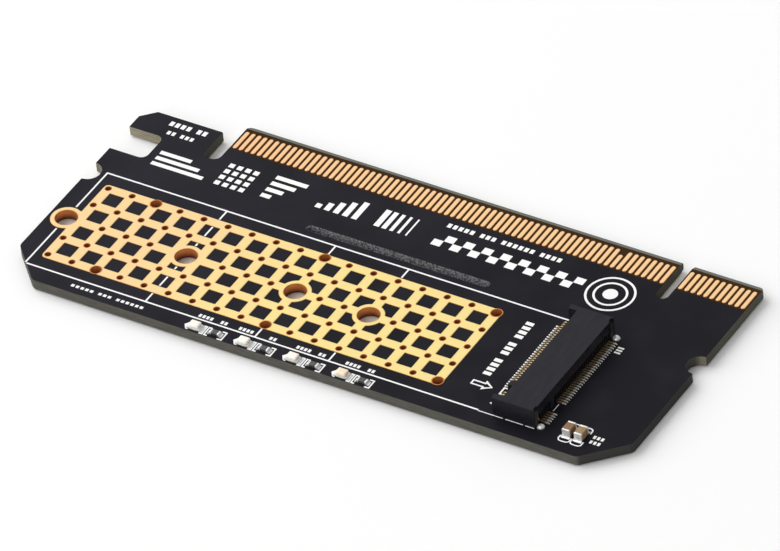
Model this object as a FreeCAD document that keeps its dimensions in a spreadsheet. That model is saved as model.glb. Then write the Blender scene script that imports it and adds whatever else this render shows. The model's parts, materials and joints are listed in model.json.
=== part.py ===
import FreeCAD, Part
import Sketcher
import math
import os
import re

# Adapter card that carries a gum-stick solid-state drive in a full-length card-edge slot.
# The card lies flat, component side up. The origin is the middle of the key notch, on the nose
# of the card edge, half way through the board. +Y points into the slot, +X towards the short
# group of edge contacts, +Z out of the component side. All sizes are in millimetres.

os.makedirs("parts", exist_ok=True)
doc = FreeCAD.newDocument("adapter_card")

SIZES = [
    ("board_thickness", 1.57, "laminate with its mask"),
    ("board_left", 87.7, "key notch centre to the left edge"),
    ("board_depth", 42.4, "nose of the card edge to the front edge"),
    ("front_chamfer", 5.7, "both front corners"),
    ("outline_radius", 1.2, "where the front corners turn"),
    ("short_end", 12.15, "key notch centre to the right edge"),
    ("long_end", 72.15, "key notch centre to the left end of the tongue"),
    ("tongue_radius", 0.8, "outer corners of the tongue"),
    ("key_notch_width", 1.9, "full round at its foot"),
    ("key_notch_depth", 8.3, "from the nose"),
    ("nose_bevel_length", 0.9, "both faces"),
    ("nose_bevel_angle", 20, "degrees off the face"),
    ("tongue_slot_width", 2.65, "between the tongue and the hook"),
    ("tongue_slot_depth", 8.8, "from the nose"),
    ("tongue_slot_radius", 1.2, "inner corners"),
    ("hook_setback", 3, "nose to the end of the hook"),
    ("hook_height", 4.55, "end of the hook to its catching edge"),
    ("hook_reach", 5.85, "how far the hook hangs over its gap"),
    ("hook_chamfer", 2, "lead-in"),
    ("hook_gap_depth", 12.85, "nose to the shoulder under the hook"),
    ("hook_gap_radius", 1.1, "inner corners"),
    ("edge_notch_radius", 1.9, "half-round notches in both side edges"),
    ("edge_notch_setback", 18.45, "from the nose"),
    ("routed_slot_length", 30, "over its round ends"),
    ("routed_slot_width", 1.3, ""),
    ("routed_slot_setback", 16, "nose to its centre line"),
    ("routed_slot_reach", 37.95, "key notch centre to its middle"),
    ("drive_line_setback", 28.75, "nose to the drive's long centre line"),
    ("drive_stop", 4.95, "key notch centre to the end of a seated drive"),
    ("length_2280", 80, "drive stop to the standoff of each length of drive"),
    ("length_2260", 60, ""),
    ("length_2242", 42, ""),
    ("length_2230", 30, ""),
    ("standoff_hole", 3.4, "diameter"),
    ("standoff_ring", 4.7, "diameter of the copper round it"),
    ("copper_thickness", 0.05, "copper and plating"),
    ("grid_pitch", 4, "both ways"),
    ("grid_columns", 16, "windows along the card"),
    ("grid_rows", 4, "windows across the card"),
    ("grid_strip", 1.6, "width of the strips"),
    ("grid_corner", 0.35, "outer corners on the left"),
    ("grid_reach", 78, "end of a seated drive to the first column of holes"),
    ("small_via", 1, "diameter"),
    ("large_via", 1.8, "diameter"),
    ("contact_pitch", 1, ""),
    ("contact_width", 0.7, ""),
    ("contact_length", 4, ""),
    ("contact_setback", 1.35, "nose to the end of the contacts"),
    ("contact_first", 1.5, "key notch centre to the nearest contact"),
    ("mask_margin", 0.25, "bare laminate behind the contacts"),
    ("contacts_short", 11, "between the key notch and the right end"),
    ("contacts_long", 71, "between the key notch and the left end"),
    ("detect_contact", 20, "the short one, counted from the key notch"),
    ("detect_cut", 1, "how much shorter it is"),
    ("drive_thickness", 0.8, "the drive's own board"),
    ("drive_rise", 1.45, "underside of the drive above this board"),
    ("drive_clearance", 0.1, "round the drive's board"),
    ("drive_tongue", 20.1, "width of the drive's edge"),
    ("drive_key", 6.125, "drive's centre line to its key slot"),
    ("drive_key_width", 1.2, ""),
    ("socket_length", 21.9, "across the card"),
    ("socket_height", 3.2, ""),
    ("socket_rear", 3.35, "drive stop to the rear face"),
    ("socket_roof", 2, "drive stop to the front of the roof"),
    ("socket_floor", 3.4, "drive stop to the front of the floor and ears"),
    ("socket_rear_step", 1.6, "height of the opening for the rear tails"),
    ("roof_thickness", 0.45, ""),
    ("rear_leg", 0.6, "wall of the socket that the rear tails hug"),
    ("tail_room", 0.2, "rear leg to the back of the tails' opening"),
    ("floor_rise", 0.55, "underside of the drive's tray above the board"),
    ("stop_depth", 0.95, "drive stop to the rear of the stop block"),
    ("stop_height", 0.95, "foot of the drive stop above the board"),
    ("tray_setback", 1.3, "drive stop to the tray's rear end"),
    ("pin_pitch", 0.5, "in each row"),
    ("pin_first", 9.25, "drive's centre line to the first upper pin"),
    ("pins_outer", 29, "pins in a row before the key"),
    ("pins_upper_inner", 5, "upper pins past the key"),
    ("pins_lower_inner", 4, "lower pins past the key"),
    ("pin_thickness", 0.15, "sheet the pins are stamped from"),
    ("pin_width", 0.22, ""),
    ("front_foot", 4.7, "drive stop to the toe of the lower pins"),
    ("rear_foot", 4.55, "drive stop to the toe of the upper pins"),
    ("pin_inset", 0.15, "lower pins' root in front of the stop block's rear"),
    ("pin_bend", 0.75, "lower pins' root to where they rise"),
    ("pin_flex", 0.2, "tip below the drive's underside"),
    ("lower_tip", 3.15, "drive stop to the bend of the lower pins"),
    ("upper_tip", 1.35, "drive stop to the bend of the upper pins"),
    ("peg_spread", 10, "drive's centre line to each locating peg"),
    ("peg_wide", 1.6, "diameter"),
    ("peg_narrow", 1.1, "diameter"),
    ("peg_length", 1, "into the board"),
    ("peg_clearance", 0.05, "radial"),
    ("anchor_width", 0.8, "sheet metal hold-down"),
    ("anchor_thickness", 0.25, ""),
    ("anchor_height", 2.6, ""),
    ("anchor_foot", 0.85, "foot past the rear face"),
    ("anchor_spread", 10.35, "drive's centre line to each hold-down"),
    ("part_row", 1, "front edge to the row of lamps and resistors"),
    ("lamp_count", 4, ""),
    ("lamp_pitch", 8, ""),
    ("lamp_first", 55.6, "key notch centre to the first lamp"),
    ("lamp_length", 2, ""),
    ("lamp_width", 1.25, ""),
    ("lamp_base", 0.35, "height of the base and its end caps"),
    ("lamp_lens", 0.5, "height of the lens on the base"),
    ("lamp_lens_inset", 0.2, "lens end to the end of the base"),
    ("lamp_draft", 0.12, "slope of the lens"),
    ("resistor_offset", 3.3, "lamp to its resistor"),
    ("resistor_length", 1.6, ""),
    ("resistor_width", 0.8, ""),
    ("resistor_height", 0.45, ""),
    ("capacitor_reach", 3.1, "key notch centre to the first capacitor"),
    ("capacitor_pitch", 1.9, ""),
    ("capacitor_row", 4, "front edge to the capacitors' middle"),
    ("capacitor_length", 2, ""),
    ("capacitor_width", 1.25, ""),
    ("capacitor_height", 1.25, ""),
    ("cap_end", 0.32, "metal end of the small parts"),
    ("solder_reach", 0.35, "fillet in front of a metal end"),
    ("solder_rise", 0.3, ""),
    ("solder_edge", 0.02, "thickness of a fillet at its top"),
]

sheet = doc.addObject("Spreadsheet::Sheet", "Sizes")
for row, (name, value, note) in enumerate(SIZES, 1):
    sheet.set("A%d" % row, name)
    sheet.set("B%d" % row, str(value))
    sheet.set("C%d" % row, note)
    sheet.setAlias("B%d" % row, name)
doc.recompute()
names = {name for name, value, note in SIZES}


def cell(formula):
    """The formula with each size's name pointed at its cell in the sheet."""
    return re.sub(r"[a-z][a-z_0-9]*", lambda word: "Sizes." + word[0] if word[0] in names else word[0],
                  str(formula))


def number(formula):
    """What the formula gives with the sheet's present values."""
    return float(sheet.evalExpression(str(formula)))


def originFeature(body, role):
    return [feature for feature in body.Origin.OriginFeatures if feature.Role == role][0]


def newBody(label):
    body = doc.addObject("PartDesign::Body", label)
    body.Label = label
    body.AllowCompound = True
    return body


def newSketch(body, name, role, height):
    """An empty sketch on one of the body's own planes, moved along the plane's normal."""
    sketch = body.newObject("Sketcher::SketchObject", name)
    sketch.AttachmentSupport = (originFeature(body, role), [""])
    sketch.MapMode = "FlatFace"
    sketch.setExpression("AttachmentOffset.Base.z", cell(height))
    return sketch


def polygons(body, name, outlines, role="XY_Plane", height="0"):
    """A sketch of closed outlines; each corner is two formulas, and both are constraints."""
    sketch = newSketch(body, name, role, height)
    for outline in outlines:
        start = sketch.GeometryCount
        spots = [FreeCAD.Vector(number(x), number(y), 0) for x, y in outline]
        count = len(spots)
        sketch.addGeometry([Part.LineSegment(spots[i], spots[(i + 1) % count]) for i in range(count)], False)
        sketch.addConstraint([Sketcher.Constraint("Coincident", start + i, 2, start + (i + 1) % count, 1)
                              for i in range(count)])
        for i, (x, y) in enumerate(outline):
            across = sketch.addConstraint(Sketcher.Constraint("DistanceX", start + i, 1, spots[i].x))
            along = sketch.addConstraint(Sketcher.Constraint("DistanceY", start + i, 1, spots[i].y))
            sketch.setExpression("Constraints[%d]" % across, cell(x))
            sketch.setExpression("Constraints[%d]" % along, cell(y))
    return sketch


def circles(body, name, rounds, height="0"):
    """A sketch of circles; each is formulas for its centre and its diameter."""
    sketch = newSketch(body, name, "XY_Plane", height)
    for x, y, diameter in rounds:
        centre = FreeCAD.Vector(number(x), number(y), 0)
        radius = number(diameter) / 2
        index = sketch.addGeometry(Part.Circle(centre, FreeCAD.Vector(0, 0, 1), radius), False)
        across = sketch.addConstraint(Sketcher.Constraint("DistanceX", index, 3, centre.x))
        along = sketch.addConstraint(Sketcher.Constraint("DistanceY", index, 3, centre.y))
        size = sketch.addConstraint(Sketcher.Constraint("Diameter", index, 2 * radius))
        sketch.setExpression("Constraints[%d]" % across, cell(x))
        sketch.setExpression("Constraints[%d]" % along, cell(y))
        sketch.setExpression("Constraints[%d]" % size, cell(diameter))
    return sketch


def rectangle(x0, y0, x1, y1):
    return [(x0, y0), (x1, y0), (x1, y1), (x0, y1)]


def faceted(x, y, diameter, sides):
    """A round drawn with flat sides that touch the circle from outside."""
    turns = [2 * math.pi * (i + 0.5) / sides for i in range(sides)]
    reach = 0.5 / math.cos(math.pi / sides)
    return [(f"{x} + ({diameter}) * {reach * math.cos(turn):.6f}",
             f"{y} + ({diameter}) * {reach * math.sin(turn):.6f}") for turn in turns]


def pad(body, sketch, name, length, reverse=False, symmetric=False):
    feature = body.newObject("PartDesign::Pad", name)
    feature.Profile = sketch
    feature.setExpression("Length", cell(length))
    feature.Reversed = reverse
    feature.SideType = "Symmetric" if symmetric else "One side"
    feature.Refine = False
    body.Tip = feature
    doc.recompute()
    return feature


def pocket(body, sketch, name, length=None, reverse=False, bothWays=False):
    """Cuts the sketch through everything or to a length; stops if it cuts nothing."""
    before = body.Shape.Volume
    feature = body.newObject("PartDesign::Pocket", name)
    feature.Profile = sketch
    if length is None:
        feature.Type = "ThroughAll"
        feature.SideType = "Symmetric" if bothWays else "One side"
    else:
        feature.setExpression("Length", cell(length))
        feature.Reversed = reverse
    feature.Refine = False
    body.Tip = feature
    doc.recompute()
    if not body.Shape.Volume < before:
        raise RuntimeError(name + " cut nothing")
    return feature


def repeat(body, feature, name, role, count, pitch, second=None, reverse=False):
    """Copies a feature along an axis of the body, and along a second one if that is given."""
    pattern = body.newObject("PartDesign::LinearPattern", name)
    pattern.Originals = [feature]
    pattern.Direction = (originFeature(body, role), [""])
    pattern.setExpression("Occurrences", cell(count))
    pattern.setExpression("Length", cell(f"({count} - 1) * {pitch}"))
    pattern.Reversed = reverse
    if second:
        role2, count2, pitch2 = second
        pattern.Direction2 = (originFeature(body, role2), [""])
        pattern.setExpression("Occurrences2", cell(count2))
        pattern.setExpression("Length2", cell(f"({count2} - 1) * {pitch2}"))
    pattern.Refine = False
    body.Tip = pattern
    doc.recompute()
    return pattern


def roundUpright(body, name, corners, radius):
    """Fillets the upright edges that stand on the given corners."""
    base = body.Tip
    spots = [(number(x), number(y)) for x, y in corners]
    edges = []
    for i, edge in enumerate(base.Shape.Edges, 1):
        low, high = edge.Vertexes[0].Point, edge.Vertexes[-1].Point
        if abs(low.x - high.x) + abs(low.y - high.y) > 1e-6:
            continue
        if any(abs(low.x - x) + abs(low.y - y) < 1e-5 for x, y in spots):
            edges.append("Edge%d" % i)
    if len(edges) != len(spots):
        raise RuntimeError(name + " missed a corner")
    fillet = body.newObject("PartDesign::Fillet", name)
    fillet.Base = (base, edges)
    fillet.setExpression("Radius", cell(radius))
    body.Tip = fillet
    doc.recompute()
    return fillet


# Places that several pieces share, as formulas of the sizes
left = "(-board_left)"
front = "(-board_depth)"
top = "(board_thickness / 2)"
neck = "(hook_reach - board_left)"
hookFoot = "(-hook_setback - hook_height)"
hookRight = "(-long_end - tongue_slot_width)"
driveLine = "(-drive_line_setback)"
stop = "(-drive_stop)"
gridLeft = "(-drive_stop - grid_reach)"
gridLow = "(-drive_line_setback - grid_rows / 2 * grid_pitch)"
drillPlane = f"({top} + copper_thickness)"
standoffs = [(f"({stop} - {length})", driveLine)
             for length in ("length_2280", "length_2260", "length_2242", "length_2230")]
# How far a cutting outline passes the face it opens
OVERSHOOT = 0.2

# Large plated holes stand on the outer rows, seven columns apart from the third column on
LARGE_FIRST, LARGE_COUNT, LARGE_STEP = 2, 3, 7
LARGE_SIDES = 8

# Small plated holes: full rows, and on the middle row the runs that the standoff rings leave free
FULL_ROWS = [0, 1, 3, 4]
MIDDLE_RUNS = [(1, 3), (6, 11)]

# Flat sides of the small holes, and of the rounds cut in thin copper
LAMINATE_SIDES, COPPER_SIDES, RING_SIDES, PEG_SIDES = 4, 6, 12, 8


def drillGrid(body, sides):
    """The same plated holes through the board and through the copper on it."""
    large = faceted(f"({gridLeft} + {LARGE_FIRST} * grid_pitch)", gridLow, "large_via", LARGE_SIDES)
    hole = pocket(body, polygons(body, "LargeSketch", [large], height=drillPlane), "LargeHole")
    repeat(body, hole, "LargeHoles", "X_Axis", str(LARGE_COUNT), f"{LARGE_STEP} * grid_pitch",
           second=("Y_Axis", "2", "grid_rows * grid_pitch"))
    for run, (start, count) in enumerate(MIDDLE_RUNS, 1):
        small = faceted(f"({gridLeft} + {start} * grid_pitch)", driveLine, "small_via", sides)
        sketch = polygons(body, "MiddleSketch%d" % run, [small], height=drillPlane)
        hole = pocket(body, sketch, "MiddleHole%d" % run)
        repeat(body, hole, "MiddleHoles%d" % run, "X_Axis", str(count), "grid_pitch")
    rows = [faceted(gridLeft, f"({gridLow} + {row} * grid_pitch)", "small_via", sides) for row in FULL_ROWS]
    column = pocket(body, polygons(body, "ColumnSketch", rows, height=drillPlane), "ColumnHoles")
    repeat(body, column, "RowHoles", "X_Axis", "(grid_columns + 1)", "grid_pitch")


def circuitBoard():
    """The laminate: outline with tongue, hook and notches, bevelled nose, and every hole."""
    body = newBody("circuit_board")
    outline = [
        (f"{left} + front_chamfer", front),
        ("short_end - front_chamfer", front),
        ("short_end", f"{front} + front_chamfer"),
        ("short_end", "0"),
        ("-long_end", "0"),
        ("-long_end", "-tongue_slot_depth"),
        (hookRight, "-tongue_slot_depth"),
        (hookRight, "-hook_setback"),
        (f"{left} + hook_chamfer", "-hook_setback"),
        (left, "-hook_setback - hook_chamfer"),
        (left, hookFoot),
        (neck, hookFoot),
        (neck, "-hook_gap_depth"),
        (left, "-hook_gap_depth"),
        (left, f"{front} + front_chamfer"),
    ]
    pad(body, polygons(body, "OutlineSketch", [outline]), "Laminate", "board_thickness", symmetric=True)
    roundUpright(body, "FrontCorners", [outline[0], outline[1], outline[2], outline[14]], "outline_radius")
    roundUpright(body, "TongueCorners", [outline[3], outline[4]], "tongue_radius")
    roundUpright(body, "SlotCorners", [outline[5], outline[6]],
                 "min(tongue_slot_radius; tongue_slot_width * 0.48)")
    roundUpright(body, "HookGapCorners", [outline[11], outline[12]], "hook_gap_radius")

    half = "(key_notch_width / 2)"
    straight = f"({half} - key_notch_depth)"
    keyway = rectangle(f"-{half}", straight, half, str(OVERSHOOT))
    pocket(body, polygons(body, "KeySketch", [keyway], height=drillPlane), "KeyNotch")
    foot = circles(body, "KeyFootSketch", [("0", straight, "key_notch_width")], height=drillPlane)
    pocket(body, foot, "KeyNotchFoot")
    notches = [(x, "-edge_notch_setback", "edge_notch_radius * 2") for x in (left, "short_end")]
    pocket(body, circles(body, "EdgeNotchSketch", notches, height=drillPlane), "EdgeNotches")

    reach = "((routed_slot_length - routed_slot_width) / 2)"
    low, high = (f"-routed_slot_setback {sign} routed_slot_width / 2" for sign in "-+")
    ends = [f"(-routed_slot_reach {sign} {reach})" for sign in "-+"]
    straightPart = polygons(body, "RoutedSketch", [rectangle(ends[0], low, ends[1], high)], height=drillPlane)
    pocket(body, straightPart, "RoutedSlot")
    roundPart = circles(body, "RoutedEndSketch", [(x, "-routed_slot_setback", "routed_slot_width")
                                                  for x in ends], height=drillPlane)
    pocket(body, roundPart, "RoutedSlotEnds")

    for face, height in (("Top", top), ("Under", f"(-{top} + copper_thickness)")):
        behind = "-contact_setback - contact_length - mask_margin"
        opening = rectangle(f"-long_end - {OVERSHOOT}", behind, f"short_end + {OVERSHOOT}", str(OVERSHOOT))
        pocket(body, polygons(body, face + "MaskSketch", [opening], height=height), face + "MaskOpening",
               length=f"copper_thickness + {0 if face == 'Top' else OVERSHOOT}")

    drop = "(nose_bevel_length * tan(nose_bevel_angle * 1deg))"
    wedges = []
    for side in ("", "-"):
        face = f"{side}{top}"
        wedges.append([("-nose_bevel_length", face), (str(OVERSHOOT), face),
                       (str(OVERSHOOT), f"{side}({top} - {drop} * (1 + {OVERSHOOT} / nose_bevel_length))")])
    pocket(body, polygons(body, "BevelSketch", wedges, role="YZ_Plane"), "NoseBevel", bothWays=True)

    pegs = [faceted(pegPlace, f"{driveLine} {sign} peg_spread", f"{size} + 2 * peg_clearance", PEG_SIDES)
            for sign, size in (("+", "peg_narrow"), ("-", "peg_wide"))]
    pocket(body, polygons(body, "PegSketch", pegs, height=drillPlane), "PegHoles")
    bores = circles(body, "StandoffSketch", [(x, y, "standoff_hole") for x, y in standoffs], height=drillPlane)
    pocket(body, bores, "StandoffHoles")
    drillGrid(body, LAMINATE_SIDES)
    return body


def thermalGrid():
    """One sheet of plated copper on the board: strips, windows, and rings round the standoffs."""
    body = newBody("thermal_grid")
    edge = "grid_strip / 2"
    right = f"({gridLeft} + grid_columns * grid_pitch)"
    high = f"({gridLow} + grid_rows * grid_pitch)"
    field = [
        (f"{gridLeft} - {edge} + grid_corner", f"{gridLow} - {edge}"), (right, f"{gridLow} - {edge}"),
        (right, gridLow), (f"{right} + {edge}", gridLow), (f"{right} + {edge}", high), (right, high),
        (right, f"{high} + {edge}"), (f"{gridLeft} - {edge} + grid_corner", f"{high} + {edge}"),
        (f"{gridLeft} - {edge}", f"{high} + {edge} - grid_corner"),
        (f"{gridLeft} - {edge}", f"{gridLow} - {edge} + grid_corner"),
    ]
    pad(body, polygons(body, "FieldSketch", [field], height=top), "Field", "copper_thickness")
    window = rectangle(f"{gridLeft} + {edge}", f"{gridLow} + {edge}",
                       f"{gridLeft} + grid_pitch - {edge}", f"{gridLow} + grid_pitch - {edge}")
    first = pocket(body, polygons(body, "WindowSketch", [window], height=drillPlane), "Window")
    repeat(body, first, "Windows", "X_Axis", "grid_columns", "grid_pitch",
           second=("Y_Axis", "grid_rows", "grid_pitch"))
    rings = [faceted(x, y, "standoff_ring", RING_SIDES) for x, y in standoffs]
    pad(body, polygons(body, "RingSketch", rings, height=top), "Rings", "copper_thickness")
    bores = [faceted(x, y, "standoff_hole", RING_SIDES) for x, y in standoffs]
    pocket(body, polygons(body, "StandoffSketch", bores, height=drillPlane), "StandoffHoles")
    drillGrid(body, COPPER_SIDES)
    return body


def edgeContacts(label, side, first, count, shortIndex):
    """A run of flat contacts in the mask opening of one face; side is 1 on top and -1 underneath."""
    body = newBody(label)
    height = f"({top} - copper_thickness)" if side > 0 else f"(-{top})"

    def blank(index, length):
        middle = f"({first} + {index} * contact_pitch)"
        foot = "-contact_setback - contact_length"
        return rectangle(f"{middle} - contact_width / 2", foot, f"{middle} + contact_width / 2",
                         f"{foot} + {length}")

    runs = [(0, shortIndex), (shortIndex + 1, f"({count} - {shortIndex} - 1)")] if shortIndex >= 0 else \
        [(0, count)]
    for run, (start, many) in enumerate(runs, 1):
        if number(many) < 1:
            continue
        sketch = polygons(body, "ContactSketch%d" % run, [blank(start, "contact_length")], height=height)
        plate = pad(body, sketch, "Contact%d" % run, "copper_thickness")
        repeat(body, plate, "Contacts%d" % run, "X_Axis", many, "contact_pitch")
    if shortIndex >= 0:
        sketch = polygons(body, "DetectSketch", [blank(shortIndex, "contact_length - detect_cut")], height=height)
        pad(body, sketch, "DetectContact", "copper_thickness")
    return body


# Socket for the drive, in places measured from the drive stop and from the board's top face
floorFront = f"({stop} - socket_floor)"
roofFront = f"({stop} - socket_roof)"
rear = f"({stop} + socket_rear)"
wall = f"({stop} + drive_clearance)"
underDrive = "(drive_rise - drive_clearance)"
overDrive = "(drive_rise + drive_thickness - drive_clearance / 2)"
roofUnder = "(socket_height - roof_thickness)"
rearLeg = f"({rear} - rear_leg)"
stopRear = f"({wall} + stop_depth)"
pegPlace = f"(({stopRear} + {rearLeg}) / 2)"


def above(outline):
    """The outline with its heights counted from the board's top face."""
    return [(reach, f"({top} + {height})") for reach, height in outline]


def socketSection():
    """The hollow that the pins and the drive's edge share, seen from the side."""
    before = f"{floorFront} - {OVERSHOOT}"
    behind = f"{rear} + {OVERSHOOT}"
    tray = f"({stop} - tray_setback)"
    tails = f"({rearLeg} + tail_room)"
    return above([
        (before, "0"), (stopRear, "0"), (stopRear, "stop_height"), (wall, "stop_height"),
        (wall, overDrive), (rearLeg, overDrive), (rearLeg, "0"), (behind, "0"),
        (behind, "socket_rear_step"), (tails, "socket_rear_step"), (tails, roofUnder), (roofFront, roofUnder),
        (roofFront, f"(socket_height + {OVERSHOOT})"), (before, f"(socket_height + {OVERSHOOT})"),
        (before, "floor_rise"), (tray, "floor_rise"), (tray, "pin_thickness"), (before, "pin_thickness"),
    ])


def socketHousing():
    """The moulding: ears, floor, roof, key rib, hollow for the pins, pegs and hold-down grooves."""
    body = newBody("socket_housing")
    low, high = (f"({driveLine} {sign} socket_length / 2)" for sign in "-+")
    pad(body, polygons(body, "BlockSketch", [rectangle(floorFront, low, rear, high)], height=top), "Block",
        "socket_height")
    keyLine = f"({driveLine} - drive_key)"
    rib = "(drive_key_width / 2 - drive_clearance)"
    zones = [(f"({keyLine} + {rib})", f"({driveLine} + drive_tongue / 2)"),
             (f"({driveLine} - drive_tongue / 2)", f"({keyLine} - {rib})")]
    for index, (start, end) in enumerate(zones, 1):
        sketch = polygons(body, "HollowSketch%d" % index, [socketSection()], role="XZ_Plane",
                          height=f"(-{start})")
        pocket(body, sketch, "Hollow%d" % index, length=f"{end} - {start}", reverse=False)
    ribTop = rectangle(f"{floorFront} - {OVERSHOOT}", f"{keyLine} - 2 * {rib}", roofFront,
                       f"{keyLine} + 2 * {rib}")
    pocket(body, polygons(body, "RibSketch", [ribTop], height=f"{top} + {overDrive}"), "RibTop",
           length="socket_height", reverse=True)
    grooves = [rectangle(f"{rear} - anchor_thickness", f"{driveLine} {sign} anchor_spread - anchor_width / 2",
                         f"{rear} + {OVERSHOOT}", f"{driveLine} {sign} anchor_spread + anchor_width / 2")
               for sign in "-+"]
    roof = polygons(body, "GrooveSketch", grooves, height=f"{top} + socket_height")
    pocket(body, roof, "AnchorGrooves")
    pegs = [faceted(pegPlace, f"{driveLine} {sign} peg_spread", size, PEG_SIDES)
            for sign, size in (("+", "peg_narrow"), ("-", "peg_wide"))]
    pad(body, polygons(body, "PegSketch", pegs, height=top), "Pegs", "peg_length", reverse=True)
    return body


def socketPins(label, outline, offset, inner):
    """One row of stamped pins: the long run before the key and the short one past it."""
    body = newBody(label)
    firstInner = "(pins_outer + 4)"
    runs = [("0", "pins_outer"), (firstInner, inner)]
    for index, (start, count) in enumerate(runs, 1):
        middle = f"({driveLine} + pin_first - {offset} - {start} * pin_pitch)"
        sketch = polygons(body, "PinSketch%d" % index, [outline], role="XZ_Plane",
                          height=f"(pin_width / 2 - {middle})")
        blank = pad(body, sketch, "Pin%d" % index, "pin_width", reverse=True)
        repeat(body, blank, "Pins%d" % index, "Y_Axis", count, "pin_pitch", reverse=True)
    return body


def lowerPinOutline():
    toe = f"{stop} - front_foot"
    tip = f"{stop} - lower_tip"
    root = f"({stopRear} - pin_inset)"
    return above([(toe, "0"), (root, "0"), (f"{tip} + pin_thickness", "drive_rise"),
                  (tip, "(drive_rise - pin_flex)"), (f"{root} - pin_bend", "pin_thickness"),
                  (toe, "pin_thickness")])


def upperPinOutline():
    toe = f"{stop} + rear_foot"
    tip = f"{stop} - upper_tip"
    leg = f"{rearLeg} + pin_thickness"
    touch = "(drive_rise + drive_thickness)"
    return above([(tip, touch), (rearLeg, f"({roofUnder} - pin_thickness)"), (rearLeg, "0"), (toe, "0"),
                  (toe, "pin_thickness"), (leg, "pin_thickness"), (leg, roofUnder)])


def socketAnchor(label, sign):
    """Sheet metal hold-down: a leg in the housing's rear groove and a foot on the board."""
    body = newBody(label)
    inner = f"({rear} - anchor_thickness)"
    toe = f"({rear} + anchor_foot)"
    outline = above([(inner, "0"), (toe, "0"), (toe, "anchor_thickness"), (rear, "anchor_thickness"),
                     (rear, "anchor_height"), (inner, "anchor_height")])
    middle = f"({driveLine} {sign} anchor_spread)"
    sketch = polygons(body, "AnchorSketch", [outline], role="XZ_Plane",
                      height=f"(anchor_width / 2 - {middle})")
    pad(body, sketch, "Anchor", "anchor_width", reverse=True)
    return body


def bindPlace(piece, x, y, z):
    for axis, formula in zip("xyz", (x, y, z)):
        piece.setExpression("Placement.Base." + axis, cell(formula))


def box(name, length, width, height, x="0", y="0", z="0"):
    """A block with its middle at x, y and its foot at z."""
    piece = doc.addObject("Part::Box", name)
    piece.setExpression("Length", cell(length))
    piece.setExpression("Width", cell(width))
    piece.setExpression("Height", cell(height))
    bindPlace(piece, f"{x} - ({length}) / 2", f"{y} - ({width}) / 2", z)
    return piece


def frustum(name, length, width, height, draft, z):
    """A block whose four sides lean in by the draft."""
    piece = doc.addObject("Part::Wedge", name)
    spans = {"Xmin": f"-({length}) / 2", "Xmax": f"({length}) / 2", "X2min": f"-({length}) / 2 + {draft}",
             "X2max": f"({length}) / 2 - {draft}", "Zmin": f"-({width}) / 2", "Zmax": f"({width}) / 2",
             "Z2min": f"-({width}) / 2 + {draft}", "Z2max": f"({width}) / 2 - {draft}", "Ymin": "0",
             "Ymax": height}
    for span, formula in spans.items():
        piece.setExpression(span, cell(formula))
    piece.Placement.Rotation = FreeCAD.Rotation(FreeCAD.Vector(1, 0, 0), 90)
    bindPlace(piece, "0", "0", z)
    return piece


def fillets(name, length, width):
    """The two solder fillets that lean on the metal ends."""
    halves = []
    for side in (1, -1):
        piece = doc.addObject("Part::Wedge", "%s_%s" % (name, "right" if side > 0 else "left"))
        spans = {"Xmin": "0", "Xmax": "solder_reach", "X2min": "0", "X2max": "solder_edge",
                 "Zmin": f"-({width}) / 2", "Zmax": f"({width}) / 2", "Z2min": f"-({width}) / 2",
                 "Z2max": f"({width}) / 2", "Ymin": "0", "Ymax": "solder_rise"}
        for span, formula in spans.items():
            piece.setExpression(span, cell(formula))
        turn = FreeCAD.Rotation(FreeCAD.Vector(1, 0, 0), 90)
        if side < 0:
            turn = FreeCAD.Rotation(FreeCAD.Vector(0, 0, 1), 180).multiply(turn)
        piece.Placement.Rotation = turn
        bindPlace(piece, f"{side} * ({length}) / 2", "0", "0")
        halves.append(piece)
    return halves


def group(label, members, x, y, turned):
    """Solids that stay separate in one sub-part, carried to its place on the board."""
    holder = doc.addObject("Part::Compound", label)
    holder.Label = label
    holder.Links = members
    if turned:
        holder.Placement.Rotation = FreeCAD.Rotation(FreeCAD.Vector(0, 0, 1), 90)
    bindPlace(holder, x, y, top)
    return holder


def chip(kind, x, y, length, width, height, turned=False, lens=False):
    """A two-ended surface part: body between metal ends, with a solder fillet at each end."""
    middle = box(kind + "_core", f"{length} - 2 * cap_end", width, height)
    ends = [box(f"{kind}_end_{side}", "cap_end", width, height, x=f"{sign}({length} - cap_end) / 2")
            for side, sign in (("left", "-"), ("right", ""))]
    nodes = [group(kind + ("_base" if lens else "_body"), [middle], x, y, turned),
             group(kind + "_terminals", ends, x, y, turned),
             group(kind + "_solder", fillets(kind + "_fillet", length, width), x, y, turned)]
    if lens:
        dome = frustum(kind + "_dome", f"{length} - 2 * lamp_lens_inset", width, "lamp_lens", "lamp_draft",
                       height)
        nodes.append(group(kind + "_lens", [dome], x, y, turned))
    return nodes


subparts = [circuitBoard(), thermalGrid()]
for face, side in (("front", 1), ("back", -1)):
    longFirst = "(-contact_first - (contacts_long - 1) * contact_pitch)"
    shortAt = int(number("contacts_long - detect_contact + contacts_short")) if side > 0 else -1
    subparts.append(edgeContacts(f"{face}_contacts_long", side, longFirst, "contacts_long", shortAt))
    last = int(number("contacts_short")) - 1
    subparts.append(edgeContacts(f"{face}_contacts_short", side, "contact_first", "contacts_short",
                                 -1 if side > 0 else last))
subparts.append(socketHousing())
subparts.append(socketPins("socket_upper_pins", upperPinOutline(), "0", "pins_upper_inner"))
subparts.append(socketPins("socket_lower_pins", lowerPinOutline(), "pin_pitch / 2", "pins_lower_inner"))
subparts.append(socketAnchor("socket_anchor_rear", "+"))
subparts.append(socketAnchor("socket_anchor_front", "-"))

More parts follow.
